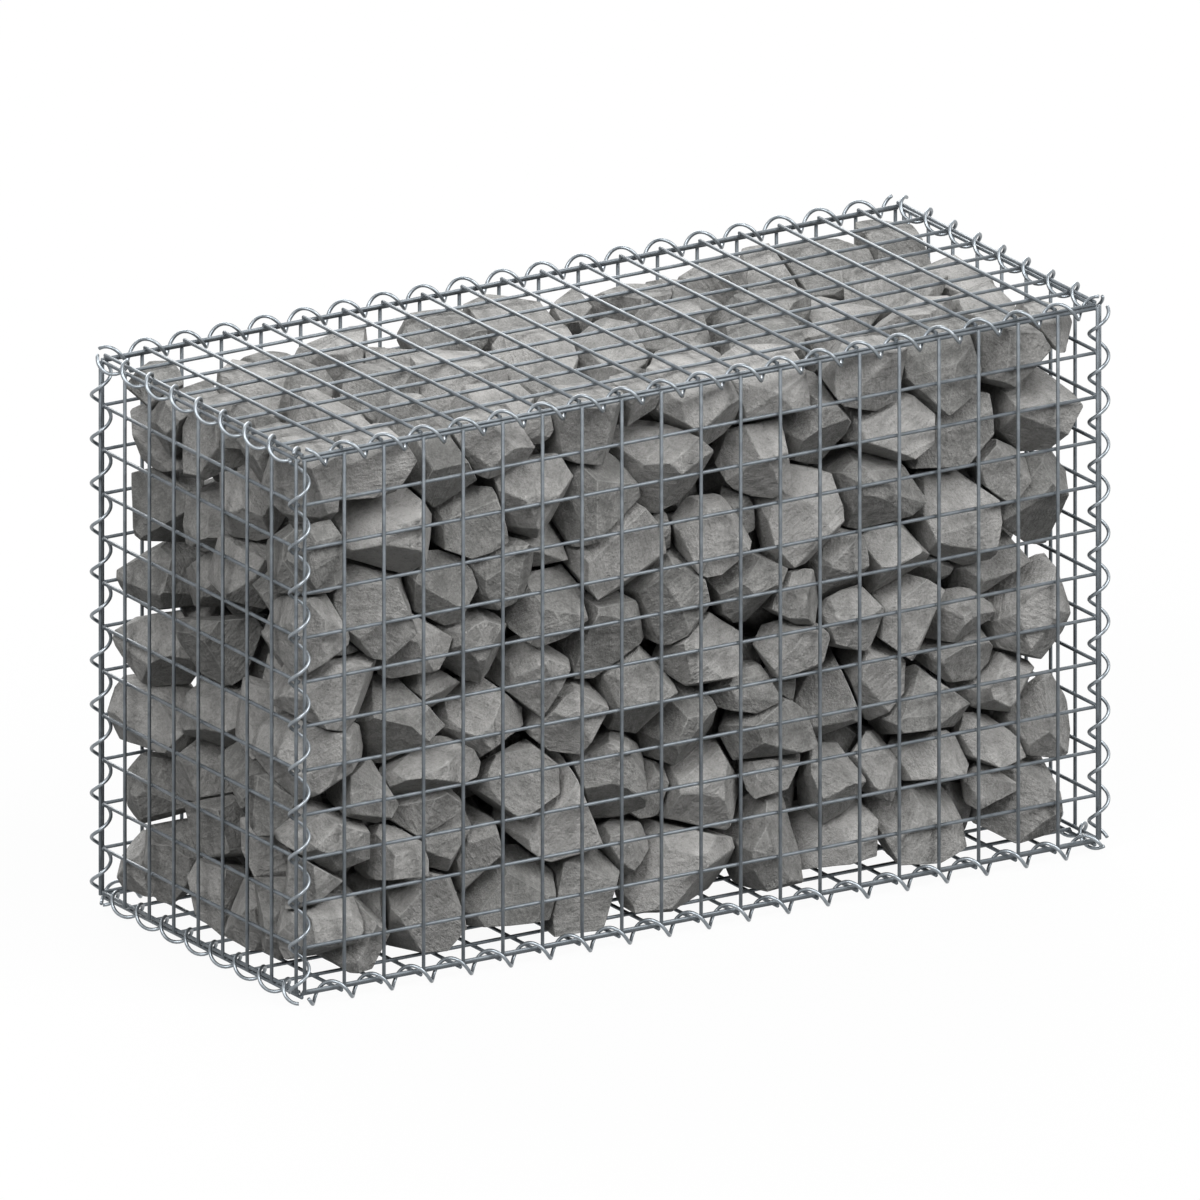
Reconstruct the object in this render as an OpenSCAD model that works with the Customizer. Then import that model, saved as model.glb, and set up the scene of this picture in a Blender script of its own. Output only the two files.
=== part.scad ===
// Gabion basket: six welded mesh panels, laced along all twelve edges
// with spiral binders and filled with broken stone.
// X is the length, Y the depth with the front at -Y, Z is up.
// The origin lies under the middle of the basket, at its lowest point.

/* [Basket] */
// Length between the end wires of the front panel
basket_l = 1000; // [400:50:1500]
// Depth between the end wires of an end panel
basket_d = 400; // [300:50:700]
// Height between the top and bottom wires of the front panel
basket_h = 600; // [400:50:1000]

/* [Welded mesh] */
// Mesh opening, from wire centre to wire centre
mesh_pitch = 50; // [40:1:60]
// Thickness of the mesh wire
mesh_wire = 4; // [3:0.1:5]
// How far crossing wires sink into each other at a weld
weld_sink = 0.4; // [0.2:0.05:0.8]
// How far the outer wires reach past the edge wire they are welded to
outer_overhang = 2; // [1:0.1:2.5]
// Faces round one mesh wire
wire_sides = 8; // [8:8:16]

/* [Spiral binders] */
// Radius of a spiral, from its axis to the middle of its wire
spiral_r = 10.5; // [10:0.1:12]
// Thickness of the spiral wire
spiral_wire = 4; // [3:0.1:4.2]
// How far a spiral may run past the ends of its edge
spiral_over = 2.7; // [0:0.1:3]
// Straight steps in one turn, in whole eights
turn_steps = 8; // [8:8:16]
// Faces round the spiral wire, an odd number
spiral_sides = 5; // [5:2:7]

/* [Stone fill] */
// Usual width of one stone
stone_w = 100; // [70:1:130]
// Space left free between the stones and the mesh at the sides
side_space = 14; // [6:1:25]
// Space left free between the stones and the lid
lid_space = 8; // [2:1:20]
// How far the joints between stones wander, as a share of a stone
joint_wander = 0.28; // [0:0.01:0.3]
// Largest turn of the broken faces away from even ones
face_turn = 16; // [4:1:24]
// Seed for the broken faces
stone_seed = 11; // [1:1:99]

/* [Fits] */
// Gap between pieces that rest on each other
seat_gap = 0.3; // [0.2:0.05:0.5]

/* [Hidden] */

mesh_color = "slategray";
spiral_color = "lightsteelblue";
stone_color = "gray";

// Parallel edge wires of two panels lie side by side across the corner
inner_layer = (mesh_wire + seat_gap) / sqrt(2);
outer_layer = inner_layer + mesh_wire - weld_sink;
// The inner wires stop short of the neighbouring panel's inner wires
inner_overhang = inner_layer - mesh_wire / 2 - seat_gap;

// A spiral turns round the two edge wires that it laces, and leans on one of them
spiral_axis = inner_layer + seat_gap;
spiral_reach = spiral_r + spiral_wire / 2;
lean_room = spiral_r - (mesh_wire / 2 + spiral_wire / 2 + seat_gap) / cos(180 / turn_steps);
// Long spirals lean straight out, on an edge wire in the inner layer
long_lean = lean_room - spiral_axis;
// Cross and standing spirals lean slantwise, on an edge wire in the outer layer
slant_lean = lean_room / sqrt(2) - (outer_layer - spiral_axis);

ground_drop = spiral_axis + spiral_reach;
mid_z = basket_h / 2 + ground_drop;

// Stones
course_count = 6;
fill_l = basket_l + 2 * (inner_layer - mesh_wire / 2 - side_space);
fill_d = basket_d + 2 * (inner_layer - mesh_wire / 2 - side_space);
fill_floor = ground_drop - inner_layer + mesh_wire / 2 + seat_gap;
fill_top = mid_z + basket_h / 2 + inner_layer - mesh_wire / 2 - lid_space;
course_h = (fill_top - fill_floor) / course_count;
stones_long = max(2, round(fill_l / stone_w));
stones_deep = max(2, round(fill_d / stone_w));
// Size of the two turned blocks that break a stone, as shares of its own block
first_break = 1.06;
second_break = 1.12;

// One straight wire along Z, from -length/2 to length/2, with a ridge towards each weld
module wire(length) {
    cylinder(h = length, d = mesh_wire, center = true, $fn = wire_sides);
}

// Positions of the wires across a panel side
function wire_places(side) =
    let(bays = max(1, round(side / mesh_pitch)))
    [for (i = [0:bays]) (i / bays - 0.5) * side];

// A panel lying flat with its outside up: outer wires along Y, inner wires along X
module welded_panel(size_x, size_y) {
    color(mesh_color) union() {
        for (x = wire_places(size_x))
            translate([x, 0, outer_layer]) rotate([90, 0, 0]) wire(size_y + 2 * outer_overhang);
        for (y = wire_places(size_y))
            translate([0, y, inner_layer]) rotate([0, 90, 0]) wire(size_x + 2 * inner_overhang);
    }
}

// A panel standing on the -Y side at the given distance from the middle
module standing_panel(size_x, distance) {
    translate([0, -distance, mid_z]) rotate([90, 0, 0]) welded_panel(size_x, basket_h);
}

module front_mesh() { standing_panel(basket_l, basket_d / 2); }
module back_mesh() { mirror([0, 1, 0]) front_mesh(); }
module left_end_mesh() { rotate(-90) standing_panel(basket_d, basket_l / 2); }
module right_end_mesh() { mirror([1, 0, 0]) left_end_mesh(); }
module lid_mesh() { translate([0, 0, mid_z + basket_h / 2]) welded_panel(basket_l, basket_d); }
module bottom_mesh() {
    translate([0, 0, mid_z - basket_h / 2]) mirror([0, 0, 1]) welded_panel(basket_l, basket_d);
}

// A right-handed spiral along Z, one turn to a mesh. The strand passes over +X at a share of a
// turn above the low end, and its steps fall on whole parts of a turn from there.
module spiral(length, share) {
    turns = max(1, round(length / mesh_pitch));
    turn_h = length / turns;
    slope = atan2(turn_h, 360 * spiral_r * PI / 180);
    first = ceil((-spiral_over / turn_h - share) * turn_steps);
    last = floor((turns + spiral_over / turn_h - share) * turn_steps);
    rings = last - first + 1;
    points = [
        for (k = [first:last], side = [0:spiral_sides - 1])
            let(turn = 360 * k / turn_steps, around = 360 * side / spiral_sides)
            let(outward = spiral_r + spiral_wire / 2 * cos(around))
            let(across = spiral_wire / 2 * sin(around))
            [
                outward * cos(turn) + across * sin(slope) * sin(turn),
                outward * sin(turn) - across * sin(slope) * cos(turn),
                (share + k / turn_steps) * turn_h - length / 2 + across * cos(slope)
            ]
    ];
    sides = [
        for (k = [0:rings - 2], side = [0:spiral_sides - 1])
            let(next = (side + 1) % spiral_sides)
            let(a = k * spiral_sides + side, b = k * spiral_sides + next)
            each [[a, a + spiral_sides, b], [b, a + spiral_sides, b + spiral_sides]]
    ];
    low_end = [for (side = [0:spiral_sides - 1]) side];
    high_end = [for (side = [0:spiral_sides - 1]) rings * spiral_sides - 1 - side];
    color(spiral_color) polyhedron(points = points, faces = concat(sides, [low_end, high_end]));
}

// A standing spiral at one corner, on the side_x and side_y sides
module standing_spiral(side_x, side_y, share) {
    x = side_x * (basket_l / 2 + spiral_axis + slant_lean);
    y = side_y * (basket_d / 2 + spiral_axis - slant_lean);
    translate([x, y, mid_z]) spiral(basket_h, share);
}

// A spiral along X, on the side_y and side_z sides
module long_spiral(side_y, side_z, share) {
    y = side_y * (basket_d / 2 + spiral_axis + long_lean);
    z = side_z * (basket_h / 2 + spiral_axis);
    translate([0, y, mid_z + z]) rotate([90, 0, 90]) spiral(basket_l, share);
}

// A spiral along Y, on the side_x and side_z sides
module cross_spiral(side_x, side_z, share) {
    x = side_x * (basket_l / 2 + spiral_axis + slant_lean);
    z = side_z * (basket_h / 2 + spiral_axis - slant_lean);
    translate([x, 0, mid_z + z]) rotate([0, -90, -90]) spiral(basket_d, share);
}

module front_left_spiral() { standing_spiral(-1, -1, 0.618); }
module front_right_spiral() { standing_spiral(1, -1, 0.996); }
module back_left_spiral() { standing_spiral(-1, 1, 0.84); }
module back_right_spiral() { standing_spiral(1, 1, 0.875); }
module lid_front_spiral() { long_spiral(-1, 1, 0.79); }
module lid_back_spiral() { long_spiral(1, 1, 0.87); }
module bottom_front_spiral() { long_spiral(-1, -1, 0.478); }
module bottom_back_spiral() { long_spiral(1, -1, 0.212); }
module lid_left_spiral() { cross_spiral(-1, 1, 0.08); }
module lid_right_spiral() { cross_spiral(1, 1, 0.92); }
module bottom_left_spiral() { cross_spiral(-1, -1, 0.474); }
module bottom_right_spiral() { cross_spiral(1, -1, 0.596); }

// Joints between count stones over a length: even shares that wander, with straight ends
function joints(length, count, seed) =
    let(wander = rands(-joint_wander, joint_wander, count + 1, seed))
    [for (i = [0:count]) (i + (i == 0 || i == count ? 0 : wander[i])) * length / count - length / 2];

// A block whose edges and corners are broken off by two turned blocks
module stone(size, seed) {
    turns = rands(-face_turn, face_turn, 6, seed);
    intersection() {
        cube(size, center = true);
        rotate([45 + turns[0], 30 + turns[1], turns[2]]) cube(size * first_break, center = true);
        rotate([turns[3], 35 + turns[4], 45 + turns[5]]) cube(size * second_break, center = true);
    }
}

// One course of stones, counted from the bottom
module stone_course(course) {
    seed = stone_seed + 100 * course;
    rows = joints(fill_d, stones_deep, seed);
    color(stone_color)
    for (row = [0:stones_deep - 1]) {
        ends = joints(fill_l, stones_long, seed + row + 1);
        for (i = [0:stones_long - 1]) {
            size = [ends[i + 1] - ends[i], rows[row + 1] - rows[row], course_h];
            low = [ends[i], rows[row], fill_floor + (course - 1) * course_h];
            translate(low + size / 2) stone(size - seat_gap * [1, 1, 1], seed + 10 * i + row + 1);
        }
    }
}

front_mesh();
back_mesh();
left_end_mesh();
right_end_mesh();
bottom_mesh();
lid_mesh();
front_left_spiral();
front_right_spiral();
back_left_spiral();
back_right_spiral();
lid_front_spiral();
lid_back_spiral();
lid_left_spiral();
lid_right_spiral();
bottom_front_spiral();
bottom_back_spiral();
bottom_left_spiral();
bottom_right_spiral();
stone_course(1);  // stone_course_1
stone_course(2);  // stone_course_2
stone_course(3);  // stone_course_3
stone_course(4);  // stone_course_4
stone_course(5);  // stone_course_5
stone_course(6);  // stone_course_6
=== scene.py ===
"""Dress a stone-filled gabion basket: welded mesh panels, spiral binders and broken stone.

Sizes are in millimetres, measured from the middle of the basket. They become metres, in the
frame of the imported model, when a piece is finished.
"""
import itertools
import logging
import math
import random
from dataclasses import dataclass, field
from enum import Enum
from typing import Any

import bmesh
import bpy
from mathutils import Euler, Matrix, Vector, noise


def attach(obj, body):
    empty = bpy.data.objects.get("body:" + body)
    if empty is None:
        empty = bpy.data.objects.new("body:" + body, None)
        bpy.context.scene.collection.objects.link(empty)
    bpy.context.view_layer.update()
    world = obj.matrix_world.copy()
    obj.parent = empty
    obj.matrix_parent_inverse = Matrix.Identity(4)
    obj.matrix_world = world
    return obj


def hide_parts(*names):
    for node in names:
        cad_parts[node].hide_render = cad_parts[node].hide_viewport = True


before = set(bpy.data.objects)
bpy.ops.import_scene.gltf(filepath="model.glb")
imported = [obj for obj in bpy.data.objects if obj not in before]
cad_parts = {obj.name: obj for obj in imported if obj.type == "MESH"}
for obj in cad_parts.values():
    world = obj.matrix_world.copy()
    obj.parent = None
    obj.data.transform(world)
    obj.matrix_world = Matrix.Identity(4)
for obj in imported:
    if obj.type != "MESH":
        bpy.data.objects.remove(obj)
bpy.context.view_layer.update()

LOG = logging.getLogger("gabion_basket")

MM = 0.001
BASKET_LENGTH = 1000.0
BASKET_DEPTH = 400.0
BASKET_HEIGHT = 600.0
MID_HEIGHT = 315.84
BASKET_SIZES = (BASKET_LENGTH, BASKET_DEPTH, BASKET_HEIGHT)
MESH_PITCH = 50.0

# How far the axes of the spirals lie from the middle of the basket
END_AXIS = BASKET_LENGTH / 2 + 4.174
STANDING_AXIS = BASKET_DEPTH / 2 + 2.507
LONG_AXIS_DEPTH = BASKET_DEPTH / 2 + 5.846
LONG_AXIS_HEIGHT = BASKET_HEIGHT / 2 + 3.341
CROSS_AXIS = BASKET_HEIGHT / 2 + 2.507

TONE_LAYER = "stone_tone"
WEAR_LAYER = "edge_wear"


class Slot(Enum):
    """Material slots of the record."""

    MESH_WIRE = "mesh_wire"
    SPIRAL_WIRE = "spiral_wire"
    STONE = "stone"


class Side(Enum):
    """Sides of the basket, each with its direction across, its direction up and its outward one."""

    FRONT = ((1, 0, 0), (0, 0, 1), (0, -1, 0))
    BACK = ((-1, 0, 0), (0, 0, 1), (0, 1, 0))
    LEFT = ((0, -1, 0), (0, 0, 1), (-1, 0, 0))
    RIGHT = ((0, 1, 0), (0, 0, 1), (1, 0, 0))
    LID = ((1, 0, 0), (0, 1, 0), (0, 0, 1))
    BOTTOM = ((1, 0, 0), (0, -1, 0), (0, 0, -1))

    @property
    def across(self) -> Vector:
        """Direction along the side's width."""
        return Vector(self.value[0])

    @property
    def up(self) -> Vector:
        """Direction along the side's height."""
        return Vector(self.value[1])

    @property
    def outward(self) -> Vector:
        """Direction away from the basket."""
        return Vector(self.value[2])

    def extent(self, direction: Vector) -> float:
        """Basket size along one of the side's directions."""
        return sum(abs(part) * size for part, size in zip(direction, BASKET_SIZES))

    def matrix(self) -> Matrix:
        """Place of the side: local X across, Y up and Z outward, from the nominal mesh plane."""
        turned = Matrix((self.across, self.up, self.outward)).transposed().to_4x4()
        return Matrix.Translation(self.outward * self.extent(self.outward) / 2) @ turned


ENDS = (Side.LEFT, Side.RIGHT)


class Run(Enum):
    """The way a spiral runs: the basket directions of its local X, Y and Z."""

    STANDING = ((1, 0, 0), (0, 1, 0), (0, 0, 1))
    LONG = ((0, 1, 0), (0, 0, 1), (1, 0, 0))
    CROSS = ((0, 0, 1), (1, 0, 0), (0, 1, 0))

    def matrix(self) -> Matrix:
        """Turn from the spiral's own directions to the basket's."""
        return Matrix([Vector(axis) for axis in self.value]).transposed().to_4x4()


def linear(colour: str) -> tuple[float, float, float, float]:
    """Turn an sRGB hex colour into linear values.

    Args:
        colour: Six hex digits with a leading hash.

    Returns:
        Linear red, green and blue, and an alpha of one.
    """
    parts = [int(colour[start:start + 2], 16) / 255 for start in (1, 3, 5)]
    values = [part / 12.92 if part <= 0.04045 else ((part + 0.055) / 1.055) ** 2.4 for part in parts]
    return values[0], values[1], values[2], 1.0


def add_node(tree: bpy.types.NodeTree, kind: str, settings: dict[str, Any],
             inputs: dict[int | str, Any]) -> bpy.types.Node:
    """Add one node with its settings, values and links.

    Args:
        tree: Node tree that gets the node.
        kind: Blender's name of the node type.
        settings: Properties of the node.
        inputs: Values or output sockets by input name or number.

    Returns:
        The new node.
    """
    node = tree.nodes.new(kind)
    for name, value in settings.items():
        setattr(node, name, value)
    for name, value in inputs.items():
        if isinstance(value, bpy.types.NodeSocket):
            tree.links.new(value, node.inputs[name])
        else:
            node.inputs[name].default_value = value
    return node


def new_material(name: str) -> bpy.types.Material:
    """Make an empty node material.

    Args:
        name: Name of the material.

    Returns:
        A material whose node tree has no nodes.
    """
    material = bpy.data.materials.new(name)
    material.use_nodes = True
    material.node_tree.nodes.clear()
    return material


def direct_look(tree: bpy.types.NodeTree) -> bpy.types.NodeSocket:
    """Tell rays that show a background from those that carry its light on.

    Args:
        tree: Node tree that gets the nodes.

    Returns:
        A socket that is one for camera, mirrored and see-through rays.
    """
    path = add_node(tree, "ShaderNodeLightPath", {}, {})
    mirrored = add_node(tree, "ShaderNodeMath", {"operation": "MAXIMUM"}, {
        0: path.outputs["Is Camera Ray"], 1: path.outputs["Is Glossy Ray"]})
    through = add_node(tree, "ShaderNodeMath", {"operation": "MAXIMUM"}, {
        0: mirrored.outputs["Value"], 1: path.outputs["Is Transmission Ray"]})
    return through.outputs["Value"]


@dataclass(frozen=True)
class GalvanisedWire:
    """Drawn steel wire, hot-dip galvanised.

    The zinc has gone a dull blue grey, with soft blotches along the wire and a satin gloss.
    """

    name: str
    dark: str
    light: str
    roughness: float
    metallic: float
    blotch: float = 14.0
    grit: float = 2.5
    bump: float = 0.12

    def material(self) -> bpy.types.Material:
        """Build the material.

        Returns:
            A satin metal with blotches of two zinc greys.
        """
        material = new_material(self.name)
        tree = material.node_tree
        coords = add_node(tree, "ShaderNodeTexCoord", {}, {}).outputs["Object"]
        blotch = add_node(tree, "ShaderNodeTexNoise", {}, {
            "Vector": coords, "Scale": 1 / (self.blotch * MM), "Detail": 3.0, "Roughness": 0.6})
        grit = add_node(tree, "ShaderNodeTexNoise", {}, {
            "Vector": coords, "Scale": 1 / (self.grit * MM), "Detail": 2.0})
        spread = add_node(tree, "ShaderNodeMapRange", {}, {
            "Value": blotch.outputs["Fac"], "From Min": 0.35, "From Max": 0.65})
        colour = add_node(tree, "ShaderNodeMix", {"data_type": "RGBA"}, {
            0: spread.outputs["Result"], 6: linear(self.dark), 7: linear(self.light)})
        gloss = add_node(tree, "ShaderNodeMapRange", {}, {
            "Value": blotch.outputs["Fac"], "From Min": 0.3, "From Max": 0.7,
            "To Min": self.roughness - 0.06, "To Max": self.roughness + 0.08})
        relief = add_node(tree, "ShaderNodeBump", {}, {
            "Height": grit.outputs["Fac"], "Strength": self.bump, "Distance": 0.3 * MM})
        shader = add_node(tree, "ShaderNodeBsdfPrincipled", {}, {
            "Base Color": colour.outputs[2], "Metallic": self.metallic,
            "Roughness": gloss.outputs["Result"], "Normal": relief.outputs["Normal"]})
        add_node(tree, "ShaderNodeOutputMaterial", {}, {"Surface": shader.outputs["BSDF"]})
        return material


@dataclass(frozen=True)
class BrokenStone:
    """Grey quarry stone, split by a crusher.

    Matt split faces with a fine grain and faint bedding streaks, paler along the bruised edges,
    and no two stones quite the same grey.
    """

    name: str = "broken_grey_stone"
    dark: str = "#696967"
    light: str = "#959492"
    edge: str = "#868684"
    mottle: float = 13.0
    streak: float = 22.0
    grain: float = 2.6
    roughness: float = 0.9

    def material(self) -> bpy.types.Material:
        """Build the material.

        Returns:
            A matt stone with tone by stone, mottling, streaks, grain and worn edges.
        """
        material = new_material(self.name)
        tree = material.node_tree
        coords = add_node(tree, "ShaderNodeTexCoord", {}, {}).outputs["Object"]
        tone = add_node(tree, "ShaderNodeAttribute", {"attribute_name": TONE_LAYER}, {})
        wear = add_node(tree, "ShaderNodeAttribute", {"attribute_name": WEAR_LAYER}, {})
        mottle = add_node(tree, "ShaderNodeTexNoise", {}, {
            "Vector": coords, "Scale": 1 / (self.mottle * MM), "Detail": 6.0, "Roughness": 0.65})
        lie = add_node(tree, "ShaderNodeVectorMath", {"operation": "SCALE"}, {
            0: (17.0, 29.0, 11.0), "Scale": tone.outputs["Fac"]})
        turned = add_node(tree, "ShaderNodeVectorRotate", {"rotation_type": "EULER_XYZ"}, {
            "Vector": coords, "Rotation": lie.outputs["Vector"]})
        bed = add_node(tree, "ShaderNodeMapping", {}, {
            "Vector": turned.outputs["Vector"], "Scale": (1.0, 1.0, 5.0)})
        streak = add_node(tree, "ShaderNodeTexNoise", {}, {
            "Vector": bed.outputs["Vector"], "Scale": 1 / (self.streak * MM), "Detail": 3.0})
        # Real grit is finer than a pixel, so the grain is drawn coarse enough to show
        grain = add_node(tree, "ShaderNodeTexNoise", {}, {
            "Vector": coords, "Scale": 1 / (self.grain * MM), "Detail": 2.0, "Roughness": 0.7})
        patches = add_node(tree, "ShaderNodeMath", {"operation": "MULTIPLY_ADD"}, {
            0: streak.outputs["Fac"], 1: 0.3, 2: mottle.outputs["Fac"]})
        shade = add_node(tree, "ShaderNodeMath", {"operation": "MULTIPLY_ADD"}, {
            0: tone.outputs["Fac"], 1: 0.5, 2: patches.outputs["Value"]})
        speckled = add_node(tree, "ShaderNodeMath", {"operation": "MULTIPLY_ADD"}, {
            0: grain.outputs["Fac"], 1: 0.8, 2: shade.outputs["Value"]})
        level = add_node(tree, "ShaderNodeMapRange", {}, {
            "Value": speckled.outputs["Value"], "From Min": 1.0, "From Max": 1.6})
        face = add_node(tree, "ShaderNodeMix", {"data_type": "RGBA"}, {
            0: level.outputs["Result"], 6: linear(self.dark), 7: linear(self.light)})
        rubbed = add_node(tree, "ShaderNodeMath", {"operation": "MULTIPLY"}, {
            0: wear.outputs["Fac"], 1: mottle.outputs["Fac"]})
        colour = add_node(tree, "ShaderNodeMix", {"data_type": "RGBA"}, {
            0: rubbed.outputs["Value"], 6: face.outputs[2], 7: linear(self.edge)})
        uneven = add_node(tree, "ShaderNodeMath", {"operation": "MULTIPLY_ADD"}, {
            0: streak.outputs["Fac"], 1: 0.5, 2: mottle.outputs["Fac"]})
        height = add_node(tree, "ShaderNodeMath", {"operation": "MULTIPLY_ADD"}, {
            0: grain.outputs["Fac"], 1: 0.25, 2: uneven.outputs["Value"]})
        relief = add_node(tree, "ShaderNodeBump", {}, {
            "Height": height.outputs["Value"], "Strength": 1.0, "Distance": 4.5 * MM})
        shader = add_node(tree, "ShaderNodeBsdfPrincipled", {}, {
            "Base Color": colour.outputs[2], "Roughness": self.roughness,
            "Specular IOR Level": 0.3, "Normal": relief.outputs["Normal"]})
        add_node(tree, "ShaderNodeOutputMaterial", {}, {"Surface": shader.outputs["BSDF"]})
        return material


@dataclass(frozen=True)
class PaleFloor:
    """Matt studio paper, which looks white and keeps a faint shadow.

    It throws less light back at the basket than it shows, as a floor further down would.
    """

    name: str = "white_studio_paper"
    paper: str = "#b4b4b4"
    bounce: str = "#505050"
    own_light: float = 0.95

    def material(self) -> bpy.types.Material:
        """Build the material.

        Returns:
            White paper that the camera sees at nearly full white.
        """
        material = new_material(self.name)
        tree = material.node_tree
        look = direct_look(tree)
        share = add_node(tree, "ShaderNodeMath", {"operation": "MULTIPLY"}, {0: look, 1: self.own_light})
        tint = add_node(tree, "ShaderNodeMix", {"data_type": "RGBA"}, {
            0: look, 6: linear(self.bounce), 7: linear(self.paper)})
        paper = add_node(tree, "ShaderNodeBsdfDiffuse", {}, {"Color": tint.outputs[2]})
        white = add_node(tree, "ShaderNodeEmission", {}, {"Strength": 1.0})
        mixed = add_node(tree, "ShaderNodeMixShader", {}, {
            0: share.outputs["Value"], 1: paper.outputs["BSDF"], 2: white.outputs["Emission"]})
        add_node(tree, "ShaderNodeOutputMaterial", {}, {"Surface": mixed.outputs["Shader"]})
        return material


def finish_piece(shape: bmesh.types.BMesh, name: str, node: str,
                 material: bpy.types.Material) -> bpy.types.Object:
    """Turn a finished bmesh into a piece that stands for a node.

    Args:
        shape: Mesh in millimetres from the middle of the basket; it is freed.
        name: Name of the piece.
        node: Name of the CAD node that the piece stands for.
        material: Finish of the piece.

    Returns:
        The linked object, at the origin.
    """
    bmesh.ops.translate(shape, vec=(0, 0, MID_HEIGHT), verts=shape.verts)
    bmesh.ops.scale(shape, vec=(MM, MM, MM), verts=shape.verts)
    for face in shape.faces:
        face.smooth = True
    mesh = bpy.data.meshes.new(name)
    shape.to_mesh(mesh)
    shape.free()
    mesh.materials.append(material)
    piece = bpy.data.objects.new(name, mesh)
    bpy.context.scene.collection.objects.link(piece)
    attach(piece, "root")
    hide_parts(node)
    LOG.info("%s: %d faces", name, len(mesh.polygons))
    return piece


@dataclass
class MeshPanel:
    """One welded mesh panel: outer wires along its height, inner ones along its width."""

    node: str
    side: Side
    wire: float = 4.0
    inner_layer: float = 3.04
    outer_layer: float = 6.64
    inner_overhang: float = 0.74
    outer_overhang: float = 2.0
    wire_sides: int = 12
    cut_rim: float = 0.5
    weld_width: float = 5.2
    weld_height: float = 2.6

    def places(self, extent: float) -> list[float]:
        """Positions of the wires across a width."""
        bays = round(extent / MESH_PITCH)
        return [(bay / bays - 0.5) * extent for bay in range(bays + 1)]

    def add_wire(self, shape: bmesh.types.BMesh, place: Matrix, length: float) -> None:
        """Add one straight wire along the local Z of a place."""
        bmesh.ops.create_cone(shape, cap_ends=True, segments=self.wire_sides, radius1=self.wire / 2,
                              radius2=self.wire / 2, depth=length, matrix=place)

    def round_cut_ends(self, shape: bmesh.types.BMesh) -> None:
        """Round the rims where the wires were cut."""
        rims = [edge for edge in shape.edges if any(len(face.verts) > 4 for face in edge.link_faces)]
        bmesh.ops.bevel(shape, geom=rims, offset=self.cut_rim, offset_type="OFFSET", segments=1,
                        profile=0.5, affect="EDGES", material=-1, clamp_overlap=True)

    def weld_bead(self) -> bpy.types.Mesh:
        """Make one flat bead of melted wire.

        Returns:
            The bead's mesh, at the origin.
        """
        shape = bmesh.new()
        size = (self.weld_width / 2, self.weld_width / 2, self.weld_height / 2)
        bmesh.ops.create_uvsphere(shape, u_segments=8, v_segments=5, radius=1.0)
        bmesh.ops.scale(shape, vec=size, verts=shape.verts)
        bead = bpy.data.meshes.new("weld_bead")
        shape.to_mesh(bead)
        shape.free()
        return bead

    def add_welds(self, shape: bmesh.types.BMesh) -> None:
        """Add a flat bead where two wires are melted into each other.

        Args:
            shape: Panel that gets the beads.
        """
        level = (self.inner_layer + self.outer_layer) / 2
        bead = self.weld_bead()
        for x in self.places(self.side.extent(self.side.across)):
            for y in self.places(self.side.extent(self.side.up)):
                place = Matrix.Translation((x, y, level))
                bead.transform(place)
                shape.from_mesh(bead)
                bead.transform(place.inverted())
        bpy.data.meshes.remove(bead)

    def build(self) -> bmesh.types.BMesh:
        """Weld the panel.

        Returns:
            The panel in its place, in millimetres from the middle of the basket.
        """
        shape = bmesh.new()
        width = self.side.extent(self.side.across)
        height = self.side.extent(self.side.up)
        along_up = Matrix.Rotation(math.radians(-90), 4, "X")
        along_across = Matrix.Rotation(math.radians(90), 4, "Y")
        for x in self.places(width):
            place = Matrix.Translation((x, 0, self.outer_layer)) @ along_up
            self.add_wire(shape, place, height + 2 * self.outer_overhang)
        for y in self.places(height):
            place = Matrix.Translation((0, y, self.inner_layer)) @ along_across
            self.add_wire(shape, place, width + 2 * self.inner_overhang)
        self.round_cut_ends(shape)
        self.add_welds(shape)
        bmesh.ops.transform(shape, matrix=self.side.matrix(), verts=shape.verts)
        return shape

    def dress(self, material: bpy.types.Material) -> bpy.types.Object:
        """Build the panel and give it its finish."""
        return finish_piece(self.build(), self.node + "_wires", self.node, material)


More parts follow.
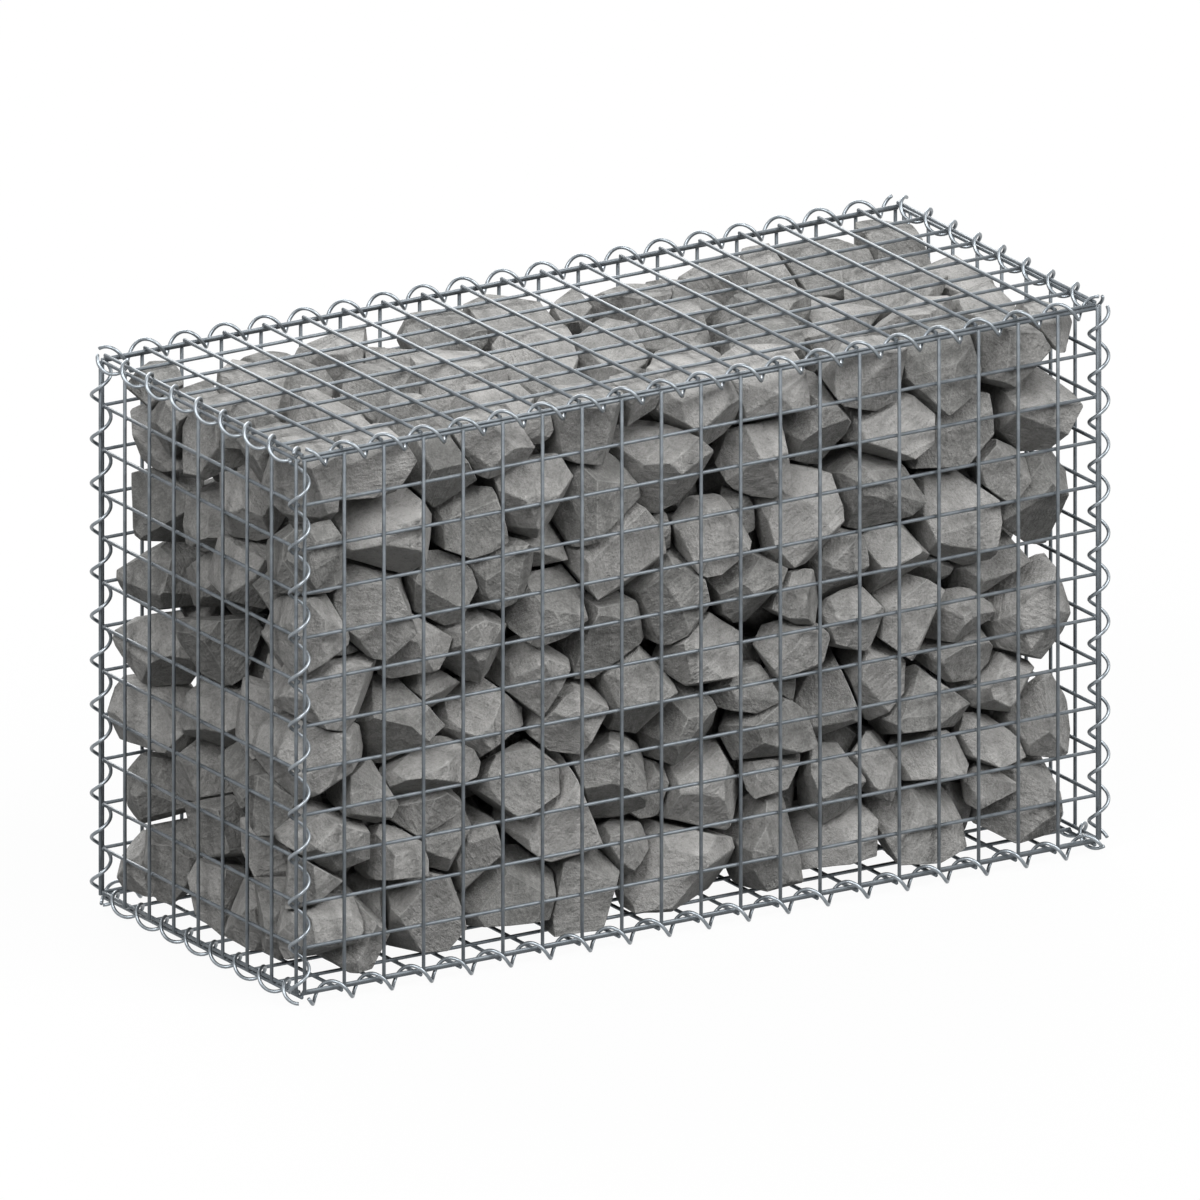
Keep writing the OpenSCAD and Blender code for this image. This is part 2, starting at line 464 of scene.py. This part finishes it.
@dataclass
class SpiralBinder:
    """One spiral of wire, wound round the edge wires of two panels, one turn to a mesh."""

    node: str
    run: Run
    axis: Vector
    length: float
    start: float
    radius: float = 10.5
    wire: float = 4.0
    over: float = 2.7
    wire_sides: int = 10
    turn_steps: int = 24
    solid_steps: int = 8

    def build(self) -> bmesh.types.BMesh:
        """Wind the spiral from a ring of the wire.

        Returns:
            The spiral in its place, in millimetres from the middle of the basket.
        """
        coarse = MESH_PITCH / self.solid_steps
        half = self.length / 2 + self.over
        low = self.start + math.ceil((-half - self.start) / coarse) * coarse
        high = self.start + math.floor((half - self.start) / coarse) * coarse
        turns = (high - low) / MESH_PITCH
        steps = round(turns * self.turn_steps)
        slope = math.atan2(MESH_PITCH, 2 * math.pi * self.radius)
        shape = bmesh.new()
        ring_place = Matrix.Translation((self.radius, 0, low)) @ Matrix.Rotation(
            math.radians(90) - math.pi + slope, 4, "X")
        bmesh.ops.create_circle(shape, cap_ends=False, radius=self.wire / 2,
                                segments=self.wire_sides, matrix=ring_place)
        first_turn = 2 * math.pi * (low - self.start) / MESH_PITCH
        bmesh.ops.rotate(shape, cent=(0, 0, 0), matrix=Matrix.Rotation(first_turn, 3, "Z"),
                         verts=shape.verts)
        bmesh.ops.spin(shape, geom=shape.verts[:] + shape.edges[:], cent=(0, 0, 0), axis=(0, 0, 1),
                       dvec=(0, 0, (high - low) / steps), angle=2 * math.pi * turns, steps=steps,
                       use_duplicate=False)
        bmesh.ops.holes_fill(shape, edges=[edge for edge in shape.edges if edge.is_boundary], sides=0)
        bmesh.ops.recalc_face_normals(shape, faces=shape.faces)
        place = Matrix.Translation(self.axis) @ self.run.matrix()
        bmesh.ops.transform(shape, matrix=place, verts=shape.verts)
        return shape

    def dress(self, material: bpy.types.Material) -> bpy.types.Object:
        """Wind the spiral and give it its finish."""
        return finish_piece(self.build(), self.node + "_wire", self.node, material)


@dataclass
class Stone:
    """One stone: its middle and its half sizes in basket directions."""

    middle: Vector
    half: Vector
    seed: int
    shown: bool = True

    def reach(self, direction: Vector) -> float:
        """Distance from the middle to the stone's outside along a unit direction."""
        return math.sqrt(sum((part * size) ** 2 for part, size in zip(direction, self.half)))


# Stones seen from the front: x, z, width, height, and how far they sit back
FRONT_STONES = (
    (-465, 258, 105, 92, 0), (-382, 262, 110, 75, 0), (-296, 246, 85, 90, 0), (-243, 265, 90, 60, 0),
    (-178, 268, 40, 35, 30), (-118, 262, 105, 75, 0), (-45, 275, 50, 45, 30), (25, 258, 115, 80, 0),
    (112, 258, 100, 80, 0), (170, 215, 95, 105, 4), (240, 260, 100, 75, 0), (322, 252, 105, 85, 0),
    (422, 255, 105, 80, 0),
    (-463, 166, 100, 74, 0), (-365, 188, 125, 85, 0), (-262, 180, 85, 75, 0), (-188, 195, 90, 95, 0),
    (-108, 180, 90, 95, 0), (-15, 195, 125, 95, 0), (95, 190, 75, 90, 0), (258, 198, 95, 80, 0),
    (342, 175, 115, 100, 0), (448, 180, 105, 85, 0),
    (-474, 93, 95, 85, 0), (-388, 102, 110, 90, 0), (-300, 112, 75, 80, 0),
    (-235, 118, 85, 85, 0), (-170, 128, 65, 50, 30), (-75, 115, 130, 95, 0), (-15, 120, 35, 45, 30),
    (35, 115, 90, 60, 0), (82, 125, 45, 50, 30), (148, 118, 95, 110, 0), (242, 128, 105, 85, 0),
    (397, 130, 65, 55, 0), (350, 75, 95, 115, 0), (442, 85, 100, 95, 0),
    (-425, 68, 70, 45, 30), (-343, 55, 75, 70, 15), (-265, 42, 95, 80, 0), (-165, 68, 105, 80, 0),
    (-97, 22, 95, 95, 0), (-8, 55, 105, 105, 0), (80, 48, 80, 80, 0), (198, 48, 100, 85, 0),
    (262, 55, 85, 75, 0), (325, 25, 60, 60, 30), (400, 15, 115, 75, 12),
    (-429, 24, 120, 90, 0), (-345, -32, 105, 80, 0), (-305, -5, 60, 60, 30), (-446, -52, 118, 82, 0),
    (-245, -55, 105, 90, 0), (-182, -5, 85, 75, 0), (-140, -60, 100, 75, 0), (-62, -45, 80, 85, 0),
    (28, -20, 90, 75, 0), (140, 25, 65, 60, 0), (143, -30, 90, 70, 0), (205, -10, 75, 60, 0),
    (285, -18, 95, 75, 0), (345, -28, 70, 55, 0), (435, -55, 115, 90, 0),
    (2, -92, 85, 95, 0), (-322, -92, 115, 55, 0), (-400, -105, 70, 75, 0), (-440, -150, 100, 90, 0),
    (-205, -125, 115, 65, 0), (-325, -132, 95, 45, 4), (-88, -135, 105, 85, 0), (-150, -165, 110, 105, 0),
    (-32, -165, 50, 60, 30), (78, -68, 75, 40, 0), (192, -98, 85, 95, 0), (132, -80, 55, 40, 30),
    (108, -122, 95, 80, 0), (245, -90, 60, 100, 0), (305, -125, 90, 85, 0), (352, -78, 95, 60, 0),
    (400, -115, 85, 70, 0),
    (-303, -177, 70, 60, 0), (-365, -178, 75, 65, 0), (-250, -195, 65, 85, 18), (-475, -190, 85, 70, 0),
    (32, -180, 115, 90, 0), (-72, -225, 60, 60, 18), (115, -165, 70, 45, 0), (188, -190, 70, 80, 0),
    (240, -180, 55, 65, 0), (310, -182, 90, 60, 0), (380, -178, 75, 55, 0), (445, -165, 65, 80, 0),
    (-455, -238, 95, 65, 0), (-415, -255, 100, 65, 0), (-322, -252, 90, 90, 0), (-210, -248, 120, 80, 0),
    (-120, -258, 85, 85, 0), (10, -255, 140, 90, 0), (105, -248, 90, 85, 0), (198, -255, 95, 85, 0),
    (298, -250, 110, 90, 0), (378, -225, 55, 45, 0), (420, -242, 130, 100, 0),
)

# Stones seen from the left end: y, z, width, height, and how far they sit back
LEFT_STONES = (
    (156, 278, 85, 42, 8), (154, 225, 86, 88, 0), (60, 240, 105, 90, 0), (-85, 265, 95, 65, 0),
    (-15, 270, 60, 50, 26), (155, 143, 94, 104, 0), (54, 154, 85, 72, 16), (-30, 198, 100, 85, 0),
    (-122, 190, 80, 78, 0), (-182, 180, 50, 70, 0), (150, 62, 98, 92, 0), (64, 84, 75, 62, 24),
    (-29, 122, 95, 80, 0), (-105, 110, 95, 75, 12), (-165, 110, 60, 60, 10), (142, -12, 105, 94, 0),
    (36, 18, 95, 85, 0), (-72, 50, 80, 62, 28), (-140, 20, 85, 85, 0), (148, -96, 96, 86, 0),
    (40, -62, 105, 82, 0), (-60, -42, 90, 78, 8), (-140, -62, 85, 70, 0), (-18, -118, 105, 70, 20),
    (75, -140, 90, 75, 6), (155, -175, 90, 80, 0), (-100, -128, 95, 75, 0), (-170, -135, 60, 70, 8),
    (20, -185, 95, 75, 0), (-60, -195, 90, 75, 24), (-130, -205, 90, 80, 0), (118, -240, 100, 85, 0),
    (30, -255, 85, 75, 0), (-50, -260, 95, 75, 0), (-135, -262, 90, 75, 0), (168, -262, 70, 70, 0),
)

# Stones seen through the lid: x, y, width, depth, and how far they sit down
TOP_STONES = (
    (-455, -60, 85, 80, 8), (-365, -75, 95, 85, 4), (-270, -55, 90, 95, 0), (-180, -70, 85, 80, 6),
    (-95, -60, 90, 90, 0), (-5, -70, 80, 75, 14), (75, -50, 85, 90, 8), (160, -70, 90, 85, 0),
    (250, -60, 95, 85, 4), (345, -70, 90, 90, 0), (440, -60, 95, 85, 8),
    (-440, 30, 95, 90, 0), (-340, 20, 90, 80, 8), (-255, 35, 75, 80, 4), (-165, 20, 100, 90, 0),
    (-65, 30, 90, 85, 6), (25, 25, 85, 80, 0), (115, 35, 90, 90, 4), (210, 25, 95, 85, 0),
    (305, 20, 80, 80, 10), (385, 30, 85, 90, 0), (460, 40, 70, 80, 6),
    (-460, 110, 80, 75, 4), (-375, 105, 90, 80, 0), (-285, 110, 90, 75, 6), (-195, 105, 85, 80, 0),
    (-105, 100, 90, 75, 10), (-10, 110, 95, 80, 0), (80, 105, 85, 75, 4), (175, 110, 95, 80, 0),
    (270, 105, 85, 80, 6), (355, 110, 85, 75, 0), (445, 115, 90, 80, 4),
)


@dataclass
class StonePile:
    """The fill: loose broken stones behind the mesh, laid side by side without overlaps.

    Breaks give how many leaning faces a stone shows on a side, and their steepest slope.
    A wave and a pit are each a width and a height.
    """

    courses: int = 6
    fill_low: float = -299.0
    fill_high: float = 299.0
    side_room: float = 1.0
    corner_room: tuple[float, float] = (0.0, 15.0)
    flat_breaks: tuple[int, float] = (1, 0.2)
    long_breaks: tuple[int, float] = (1, 0.32)
    end_breaks: tuple[int, float] = (2, 0.62)
    peak_wander: float = 12.0
    corner_lean: float = 0.25
    corner_skew: float = 0.3
    inset: tuple[float, float] = (0.0, 10.0)
    growth: float = 1.10
    end_growth: float = 1.0
    wall_room: tuple[float, float, float] = (170.0, 100.0, 100.0)
    facets: int = 9
    facet_share: tuple[float, float] = (0.68, 1.0)
    facet_wander: float = 0.55
    gap: tuple[float, float] = (2.5, 6.0)
    gap_tilt: float = 0.26
    block_share: float = 1.15
    merge: float = 2.5
    edge_round: float = 0.9
    sliver: float = 0.05
    mesh_size: float = 18.0
    hidden_mesh_size: float = 45.0
    mesh_rounds: int = 4
    wave: tuple[float, float] = (26.0, 0.9)
    pit: tuple[float, float] = (8.0, 0.25)
    seen_depth: float = 105.0
    spacing: float = 88.0
    crowding: float = 0.72
    inside_half: tuple[float, float] = (36.0, 52.0)
    inside_wander: float = 0.25
    crowding_reach: float = 160.0
    neighbour_reach: float = 190.0
    stones: list[Stone] = field(default_factory=list)

    def room_for(self, stone: Stone, crowding: float) -> bool:
        """Tell whether a stone keeps clear enough of those already laid.

        Args:
            stone: Stone to lay.
            crowding: Least distance, as a share of the two stones' reaches.

        Returns:
            True if no laid stone is closer.
        """
        for other in self.stones:
            apart = other.middle - stone.middle
            distance = apart.length
            if distance > self.crowding_reach:
                continue
            direction = apart / max(distance, 0.001)
            if distance < crowding * (stone.reach(direction) + other.reach(direction)):
                return False
        return True

    def lay_side(self, side: Side, rows: tuple, crowding: float) -> None:
        """Lay the stones of one side from a list.

        Args:
            side: Side that shows them.
            rows: Place across, place up, width, height and setback of each stone.
            crowding: Least distance to laid stones, as a share of the reaches.
        """
        for across, up, width, height, back in rows:
            rng = random.Random(len(self.stones) * 7 + len(side.name))
            depth = (width + height) / 2 * rng.uniform(0.85, 1.05)
            sizes = side.across * width + side.up * height + side.outward * depth
            growth = self.end_growth if side in ENDS else self.growth
            half = Vector([abs(size) / 2 * growth for size in sizes])
            face = side.extent(side.outward) / 2 - rng.uniform(*self.inset) - back
            middle = side.across * across + side.up * up + side.outward * (face - depth * growth / 2)
            stone = Stone(middle, half, len(self.stones) + 1)
            if self.room_for(stone, crowding):
                self.stones.append(stone)

    def lay_inside(self) -> None:
        """Fill what is left with stones on a loose grid."""
        rng = random.Random(5)
        counts = [round(size / self.spacing) for size in BASKET_SIZES]
        for places in itertools.product(*(range(2 * count) for count in counts)):
            wander = [rng.uniform(-self.inside_wander, self.inside_wander) for _ in range(3)]
            half = Vector([rng.uniform(*self.inside_half) for _ in range(3)])
            steps = [(place + 0.5 + shift) / (2 * count) - 0.5
                     for place, shift, count in zip(places, wander, counts)]
            middle = Vector([step * (size - room) for step, size, room
                             in zip(steps, BASKET_SIZES, self.wall_room)])
            stone = Stone(middle, half, len(self.stones) + 1, self.near_side(middle))
            if self.room_for(stone, self.crowding):
                self.stones.append(stone)

    def near_side(self, middle: Vector) -> bool:
        """Tell whether a stone there may be seen from outside."""
        return any(size / 2 - abs(part) < self.seen_depth for part, size in zip(middle, BASKET_SIZES))

    def lay(self) -> None:
        """Lay all the stones: the seen sides first, the far sides to match, then the inside."""
        self.lay_side(Side.FRONT, FRONT_STONES, crowding=0.3)
        left = tuple((-y, z, width, height, back) for y, z, width, height, back in LEFT_STONES)
        self.lay_side(Side.LEFT, left, crowding=0.5)
        self.lay_side(Side.BACK, FRONT_STONES, crowding=0.5)
        self.lay_side(Side.LID, TOP_STONES, crowding=0.55)
        self.lay_side(Side.RIGHT, left, crowding=0.55)
        self.lay_side(Side.BOTTOM, TOP_STONES, crowding=0.6)
        self.lay_inside()

    def cut(self, shape: bmesh.types.BMesh, point: Vector, normal: Vector) -> None:
        """Cut off what lies beyond a plane and close the cut.

        Args:
            shape: Stone to cut.
            point: Point of the plane.
            normal: Direction of the side that is cut off.
        """
        if max((vert.co - point).dot(normal) for vert in shape.verts) < 0.05:
            return
        parts = shape.verts[:] + shape.edges[:] + shape.faces[:]
        bmesh.ops.bisect_plane(shape, geom=parts, dist=0.0001, plane_co=point, plane_no=normal,
                               clear_outer=True, clear_inner=False)
        rim = [edge for edge in shape.edges if edge.is_boundary]
        bmesh.ops.holes_fill(shape, edges=rim, sides=0)

    def break_faces(self, shape: bmesh.types.BMesh, stone: Stone, rng: random.Random) -> None:
        """Cut a block to a stone with broken faces all round.

        Args:
            shape: Block to cut.
            stone: Stone that it becomes.
            rng: The stone's own random numbers.
        """
        turn = Euler([rng.uniform(0, 2 * math.pi) for _ in range(3)]).to_matrix()
        golden = math.pi * (3 - math.sqrt(5))
        for number in range(self.facets):
            height = 1 - (2 * number + 1) / self.facets
            flat = math.sqrt(1 - height * height)
            spread = Vector((flat * math.cos(number * golden), flat * math.sin(number * golden), height))
            wander = Vector([rng.uniform(-self.facet_wander, self.facet_wander) for _ in range(3)])
            normal = (turn @ spread + wander).normalized()
            distance = stone.reach(normal) * rng.uniform(*self.facet_share)
            self.cut(shape, stone.middle + normal * distance, normal)

    def part_from_others(self, shape: bmesh.types.BMesh, stone: Stone) -> None:
        """Cut a stone back to the planes that it shares with its neighbours.

        Args:
            shape: Stone to cut.
            stone: Its place and size.
        """
        for other in self.stones:
            apart = other.middle - stone.middle
            distance = apart.length
            if other is stone or distance > self.neighbour_reach:
                continue
            direction = apart / distance
            reach = stone.reach(direction)
            share = reach / (reach + other.reach(direction))
            pair = random.Random(min(stone.seed, other.seed) * 1009 + max(stone.seed, other.seed))
            tilt = Vector([pair.uniform(-self.gap_tilt, self.gap_tilt) for _ in range(3)])
            space = pair.uniform(*self.gap)
            if stone.seed > other.seed:
                tilt = -tilt
            normal = (direction + tilt).normalized()
            point = stone.middle + apart * share - normal * space / 2
            self.cut(shape, point, normal)

    def breaks_on(self, side: Side) -> tuple[int, float]:
        """Choose the broken faces that a stone shows on a side.

        Args:
            side: Side that shows the stone.

        Returns:
            Number of leaning faces and their steepest slope.
        """
        if side in ENDS:
            return self.end_breaks
        return self.long_breaks if side in (Side.FRONT, Side.BACK) else self.flat_breaks

    def keep_inside(self, shape: bmesh.types.BMesh, stone: Stone, rng: random.Random) -> None:
        """Cut a stone back to the inside of the mesh, mostly by faces that lean away from a peak.

        Args:
            shape: Stone to cut.
            stone: Its place and size.
            rng: The stone's own random numbers.
        """
        for side in Side:
            room = side.extent(side.outward) / 2 - self.side_room
            breaks, slope = self.breaks_on(side)
            wander = [rng.uniform(-self.peak_wander, self.peak_wander) for _ in range(2)]
            peak = stone.middle + side.outward * (room - stone.middle.dot(side.outward))
            peak += side.across * wander[0] + side.up * wander[1]
            turn = rng.uniform(0, 2 * math.pi)
            for number in range(breaks):
                angle = turn + 2 * math.pi * number / breaks
                down = side.across * math.cos(angle) + side.up * math.sin(angle)
                normal = side.outward + down * slope * rng.uniform(0.5, 1.0)
                self.cut(shape, peak, normal.normalized())
            self.cut(shape, peak, side.outward)

    def clear_corners(self, shape: bmesh.types.BMesh, stone: Stone, rng: random.Random) -> None:
        """Break a stone off along the edges of the basket, where no stone fills the corner.

        Args:
            shape: Stone to cut.
            stone: Its place and size.
            rng: The stone's own random numbers.
        """
        for first, second in itertools.combinations(Side, 2):
            if abs(first.outward.dot(second.outward)) > 0.5:
                continue
            lean = rng.uniform(-self.corner_lean, self.corner_lean)
            along = first.outward.cross(second.outward)
            skew = along * rng.uniform(-self.corner_skew, self.corner_skew)
            normal = (first.outward * (1 + lean) + second.outward * (1 - lean) + skew).normalized()
            corner = along * stone.middle.dot(along)
            for side in (first, second):
                corner += side.outward * side.extent(side.outward) / 2
            self.cut(shape, corner - normal * rng.uniform(*self.corner_room), normal)

    def refine(self, shape: bmesh.types.BMesh, size: float) -> None:
        """Split long edges until the mesh is fine enough to be roughened.

        Args:
            shape: Stone to split.
            size: Longest edge that may stay.
        """
        bmesh.ops.triangulate(shape, faces=shape.faces, quad_method="SHORT_EDGE")
        for _ in range(self.mesh_rounds):
            longer = [edge for edge in shape.edges if edge.calc_length() > size]
            if not longer:
                break
            bmesh.ops.subdivide_edges(shape, edges=longer, cuts=1, use_grid_fill=False)
            larger = [face for face in shape.faces if len(face.verts) > 3]
            bmesh.ops.triangulate(shape, faces=larger, quad_method="SHORT_EDGE")

    def roughen(self, shape: bmesh.types.BMesh) -> None:
        """Give the split faces their gentle waves and small pits.

        Args:
            shape: Stone with a fine mesh and fresh normals.
        """
        for vert in shape.verts:
            wave = noise.noise(vert.co / self.wave[0]) * self.wave[1]
            pit = noise.noise(vert.co / self.pit[0]) * self.pit[1]
            vert.co += vert.normal * (wave + pit)

    def carve(self, stone: Stone) -> bpy.types.Mesh:
        """Make one stone.

        Args:
            stone: Its place, size and seed.

        Returns:
            The stone's mesh with its tone and wear, in millimetres.
        """
        rng = random.Random(stone.seed * 31 + 7)
        shape = bmesh.new()
        bmesh.ops.create_cube(shape, size=2.0)
        bmesh.ops.scale(shape, vec=stone.half * self.block_share, verts=shape.verts)
        bmesh.ops.translate(shape, vec=stone.middle, verts=shape.verts)
        self.part_from_others(shape, stone)
        self.break_faces(shape, stone, rng)
        self.keep_inside(shape, stone, rng)
        self.clear_corners(shape, stone, rng)
        bmesh.ops.remove_doubles(shape, verts=shape.verts, dist=self.merge)
        bmesh.ops.recalc_face_normals(shape, faces=shape.faces)
        if shape.calc_volume(signed=True) < 0:
            bmesh.ops.reverse_faces(shape, faces=shape.faces)
        tone = shape.faces.layers.float.new(TONE_LAYER)
        wear = shape.faces.layers.float.new(WEAR_LAYER)
        level = rng.random()
        rounded = bmesh.ops.bevel(shape, geom=shape.edges, offset=self.edge_round, offset_type="OFFSET",
                                  segments=1, profile=0.5, affect="EDGES", material=-1, clamp_overlap=True)
        for face in rounded["faces"]:
            face[wear] = 1.0
        for face in shape.faces:
            face[tone] = level
        for edge in shape.edges:
            edge.smooth = len({face[wear] for face in edge.link_faces}) == 1
        bmesh.ops.dissolve_degenerate(shape, edges=shape.edges, dist=self.sliver)
        self.refine(shape, self.mesh_size if stone.shown else self.hidden_mesh_size)
        shape.normal_update()
        self.roughen(shape)
        mesh = bpy.data.meshes.new("stone")
        shape.to_mesh(mesh)
        shape.free()
        return mesh

    def course_of(self, stone: Stone) -> int:
        """Find the course that a stone lies in.

        Args:
            stone: Stone to look up.

        Returns:
            Number of the course, from one at the bottom.
        """
        height = (self.fill_high - self.fill_low) / self.courses
        number = int((stone.middle.z - self.fill_low) / height) + 1
        return max(1, min(self.courses, number))

    def dress(self, material: bpy.types.Material) -> list[bpy.types.Object]:
        """Lay the stones, carve them and join them course by course.

        Args:
            material: Finish of the stones.

        Returns:
            One piece for each course.
        """
        self.lay()
        LOG.info("stones laid: %d", len(self.stones))
        pieces = []
        for course in range(1, self.courses + 1):
            shape = bmesh.new()
            for stone in self.stones:
                if self.course_of(stone) == course:
                    mesh = self.carve(stone)
                    shape.from_mesh(mesh)
                    bpy.data.meshes.remove(mesh)
            node = "stone_course_%d" % course
            name = "broken_stones_%d" % course
            pieces.append(finish_piece(shape, name, node, material))
        return pieces


@dataclass
class Studio:
    """Floor, lights and camera for a plain product picture."""

    azimuth: float = 31.675
    elevation: float = 18.21
    frame_width: float = 1.288
    camera_distance: float = 5.0
    floor_size: float = 16.0
    horizon: float = 0.07
    overhead: float = 0.80

    def set_camera(self) -> None:
        """Put up a camera without perspective at the picture's angle."""
        lens = bpy.data.cameras.new("camera")
        lens.type = "ORTHO"
        lens.ortho_scale = self.frame_width
        lens.clip_end = 100.0
        camera = bpy.data.objects.new("camera", lens)
        turn = math.radians(self.azimuth)
        lift = math.radians(self.elevation)
        away = Vector((-math.sin(turn) * math.cos(lift), -math.cos(turn) * math.cos(lift), math.sin(lift)))
        camera.location = Vector((0, 0, MID_HEIGHT * MM)) + away * self.camera_distance
        camera.rotation_euler = (math.radians(90) - lift, 0, -turn)
        bpy.context.scene.collection.objects.link(camera)
        bpy.context.scene.camera = camera

    def lay_floor(self, material: bpy.types.Material) -> None:
        """Lay the paper floor just under the basket.

        Args:
            material: Finish of the floor.
        """
        shape = bmesh.new()
        bmesh.ops.create_grid(shape, x_segments=2, y_segments=2, size=self.floor_size / 2)
        mesh = bpy.data.meshes.new("floor")
        shape.to_mesh(mesh)
        shape.free()
        mesh.materials.append(material)
        floor = bpy.data.objects.new("floor", mesh)
        bpy.context.scene.collection.objects.link(floor)

    def add_lamp(self, name: str, source: Vector, strength: float, spread: float) -> None:
        """Add one soft lamp that lights the basket evenly from a direction.

        Args:
            name: Name of the lamp.
            source: Direction that the light comes from.
            strength: Light on a surface that faces it.
            spread: Apparent width of the lamp in degrees.
        """
        light = bpy.data.lights.new(name, "SUN")
        light.energy = strength * math.pi
        light.angle = math.radians(spread)
        lamp = bpy.data.objects.new(name, light)
        lamp.rotation_euler = (-source).to_track_quat("-Z", "Y").to_euler()
        bpy.context.scene.collection.objects.link(lamp)

    def light_up(self) -> None:
        """Set the lamps and the pale surroundings."""
        self.add_lamp("key_lamp", Vector((0.4, -0.75, 0.85)), strength=1.06, spread=45.0)
        self.add_lamp("left_lamp", Vector((-0.7, -0.45, 0.7)), strength=0.82, spread=30.0)
        self.add_lamp("back_lamp", Vector((0.35, 1.0, 0.55)), strength=0.95, spread=45.0)
        world = bpy.data.worlds.new("white_surroundings")
        world.use_nodes = True
        tree = world.node_tree
        tree.nodes.clear()
        sky = add_node(tree, "ShaderNodeTexCoord", {}, {})
        height = add_node(tree, "ShaderNodeSeparateXYZ", {}, {0: sky.outputs["Generated"]})
        overhead = add_node(tree, "ShaderNodeMapRange", {}, {
            "Value": height.outputs["Z"], "From Min": 0.0, "From Max": 1.0,
            "To Min": self.horizon, "To Max": self.overhead})
        strength = add_node(tree, "ShaderNodeMix", {"data_type": "FLOAT"}, {
            0: direct_look(tree), 2: overhead.outputs["Result"], 3: 1.0})
        white = add_node(tree, "ShaderNodeBackground", {}, {
            "Color": (1.0, 1.0, 1.0, 1.0), "Strength": strength.outputs[0]})
        add_node(tree, "ShaderNodeOutputWorld", {}, {"Surface": white.outputs["Background"]})
        bpy.context.scene.world = world
        bpy.context.scene.view_settings.view_transform = "Standard"


def mesh_panels() -> list[MeshPanel]:
    """List the six panels."""
    return [
        MeshPanel("front_mesh", Side.FRONT),
        MeshPanel("back_mesh", Side.BACK),
        MeshPanel("left_end_mesh", Side.LEFT),
        MeshPanel("right_end_mesh", Side.RIGHT),
        MeshPanel("bottom_mesh", Side.BOTTOM),
        MeshPanel("lid_mesh", Side.LID),
    ]


def spiral_binders() -> list[SpiralBinder]:
    """List the twelve spirals with their axes and starts.

    Returns:
        The spirals, standing ones first.
    """
    # Edge, the two signs of its place, and where along it a turn starts
    standing = (
        ("front_left", -1, -1, -19.1), ("front_right", 1, -1, -0.2),
        ("back_left", -1, 1, -8.0), ("back_right", 1, 1, -6.25),
    )
    long = (
        ("lid_front", -1, 1, -10.5), ("lid_back", 1, 1, -6.5),
        ("bottom_front", -1, -1, -26.1), ("bottom_back", 1, -1, -39.4),
    )
    cross = (
        ("lid_left", -1, 1, 4.0), ("lid_right", 1, 1, -4.0),
        ("bottom_left", -1, -1, 23.7), ("bottom_right", 1, -1, 29.8),
    )
    binders = []
    for name, x, y, start in standing:
        axis = Vector((x * END_AXIS, y * STANDING_AXIS, 0))
        binders.append(SpiralBinder(name + "_spiral", Run.STANDING, axis, BASKET_HEIGHT, start))
    for name, y, z, start in long:
        axis = Vector((0, y * LONG_AXIS_DEPTH, z * LONG_AXIS_HEIGHT))
        binders.append(SpiralBinder(name + "_spiral", Run.LONG, axis, BASKET_LENGTH, start))
    for name, x, z, start in cross:
        axis = Vector((x * END_AXIS, 0, z * CROSS_AXIS))
        binders.append(SpiralBinder(name + "_spiral", Run.CROSS, axis, BASKET_DEPTH, start))
    return binders


def main() -> None:
    """Build the basket piece by piece, then the studio."""
    logging.basicConfig(level=logging.INFO, format="%(message)s")
    mesh_zinc = GalvanisedWire("galvanised_mesh_wire", "#575d62", "#6b7176", 0.45, 0.5).material()
    spiral_zinc = GalvanisedWire("galvanised_spiral_wire", "#70767b", "#8b9196", 0.32, 0.75).material()
    stone = BrokenStone().material()
    for panel in mesh_panels():
        panel.dress(mesh_zinc)
    for binder in spiral_binders():
        binder.dress(spiral_zinc)
    StonePile().dress(stone)
    studio = Studio()
    studio.set_camera()
    studio.lay_floor(PaleFloor().material())
    studio.light_up()


if __name__ == "__main__":
    main()
